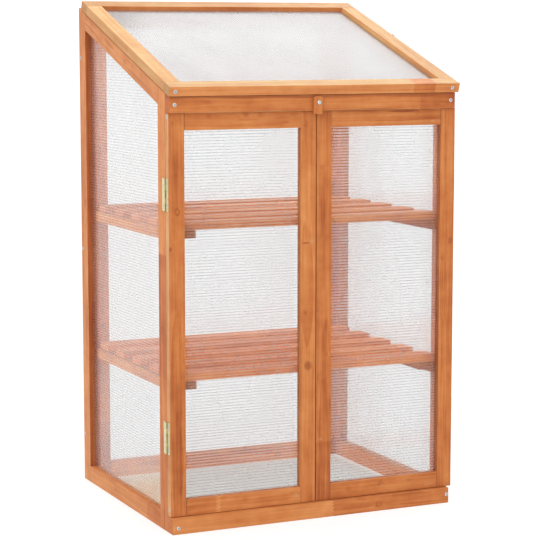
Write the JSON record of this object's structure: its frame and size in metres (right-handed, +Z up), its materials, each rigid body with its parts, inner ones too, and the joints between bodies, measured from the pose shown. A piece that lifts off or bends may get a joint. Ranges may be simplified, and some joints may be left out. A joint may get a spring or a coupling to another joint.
{
  "type": "wooden mini greenhouse",
  "caption": "Small free-standing greenhouse of grooved timber frames and clear twin-wall sheet, with front doors, a sloping lift-up lid and lift-out slatted shelves.",
  "frame": {"origin": "on the ground at the centre of the footprint, midway between the two side panels and between the front of the sill and the back of the side panels", "axes": "+X to the right as seen from the front, +Y from the doors towards the back panel, +Z up"},
  "size_m": [0.6641, 0.5478, 1.0743],
  "materials": {
    "frame_timber": "honey-brown stained softwood, satin, with open grain and knots",
    "lid_timber": "honey-brown stained softwood, satin",
    "inner_timber": "honey-brown stained softwood, sawn and sanded",
    "twin_wall_sheet": "clear twin-wall polycarbonate, fluted",
    "zinc_screws": "bright zinc",
    "yellow_zinc_hinges": "yellow passivated zinc",
    "zinc_bar": "bright zinc"
  },
  "bodies": {
    "carcass": {"back_bottom_rail": "frame_timber", "back_left_stile": "frame_timber", "back_pane": "twin_wall_sheet", "back_right_stile": "frame_timber", "back_top_rail": "frame_timber", "carcass_screws": "zinc_screws", "frame_hinge_leaves": "yellow_zinc_hinges", "header_rail": "frame_timber", "hinge_pins": "yellow_zinc_hinges", "left_side_back_stile": "frame_timber", "left_side_bottom_rail": "frame_timber", "left_side_front_stile": "frame_timber", "left_side_pane": "twin_wall_sheet", "left_side_top_rail": "frame_timber", "lower_shelf_cleats": "inner_timber", "right_side_back_stile": "frame_timber", "right_side_bottom_rail": "frame_timber", "right_side_front_stile": "frame_timber", "right_side_pane": "twin_wall_sheet", "right_side_top_rail": "frame_timber", "sill_rail": "frame_timber", "turn_button_screw": "zinc_screws", "upper_shelf_cleats": "inner_timber"},
    "left_door": {"left_door_bottom_rail": "frame_timber", "left_door_hinge_leaves": "yellow_zinc_hinges", "left_door_hinge_stile": "frame_timber", "left_door_meeting_stile": "frame_timber", "left_door_pane": "twin_wall_sheet", "left_door_screws": "zinc_screws", "left_door_top_rail": "frame_timber"},
    "right_door": {"right_door_bottom_rail": "frame_timber", "right_door_hinge_leaves": "yellow_zinc_hinges", "right_door_hinge_stile": "frame_timber", "right_door_meeting_stile": "frame_timber", "right_door_pane": "twin_wall_sheet", "right_door_screws": "zinc_screws", "right_door_top_rail": "frame_timber"},
    "lid": {"lid_back_rail": "lid_timber", "lid_front_rail": "lid_timber", "lid_hinge_leaves": "yellow_zinc_hinges", "lid_left_rail": "lid_timber", "lid_pane": "twin_wall_sheet", "lid_right_rail": "lid_timber", "lid_screws": "zinc_screws"},
    "lid_stay": {"lid_stay_arm": "zinc_bar"},
    "turn_button": {"turn_button": "frame_timber"},
    "upper_shelf": {"upper_shelf_battens": "inner_timber", "upper_shelf_brads": "zinc_screws", "upper_shelf_slat_1": "inner_timber", "upper_shelf_slat_2": "inner_timber", "upper_shelf_slat_3": "inner_timber", "upper_shelf_slat_4": "inner_timber", "upper_shelf_slat_5": "inner_timber"},
    "lower_shelf": {"lower_shelf_battens": "inner_timber", "lower_shelf_brads": "zinc_screws", "lower_shelf_slat_1": "inner_timber", "lower_shelf_slat_2": "inner_timber", "lower_shelf_slat_3": "inner_timber", "lower_shelf_slat_4": "inner_timber", "lower_shelf_slat_5": "inner_timber"}
  },
  "joints": [
    {"name": "left_door_hinge", "type": "hinge", "parent": "carcass", "child": "left_door", "pos_m": [-0.3278, -0.2425, 0.441], "axis": [0, 0, -1], "range_deg": [0, 180]},
    {"name": "right_door_hinge", "type": "hinge", "parent": "carcass", "child": "right_door", "pos_m": [0.3278, -0.2425, 0.441], "axis": [0, 0, 1], "range_deg": [0, 180]},
    {"name": "lid_hinge", "type": "hinge", "parent": "carcass", "child": "lid", "pos_m": [0, 0.25137, 1.05639], "axis": [-1, 0, 0], "range_deg": [0, 90]},
    {"name": "lid_stay_pivot", "type": "hinge", "parent": "lid", "child": "lid_stay", "pos_m": [0.3286, 0.02586, 0.99348], "axis": [-1, 0, 0], "range_deg": [0, 100]},
    {"name": "turn_button_pivot", "type": "hinge", "parent": "carcass", "child": "turn_button", "pos_m": [-0.0019, -0.2713, 0.8653], "axis": [0, -1, 0], "range_deg": [-90, 90]},
    {"name": "upper_shelf_lift", "type": "slide", "parent": "carcass", "child": "upper_shelf", "axis": [0, 0, 1], "range_m": [0, 0.26]},
    {"name": "lower_shelf_lift", "type": "slide", "parent": "carcass", "child": "lower_shelf", "axis": [0, 0, 1], "range_m": [0, 0.26]}
  ]
}
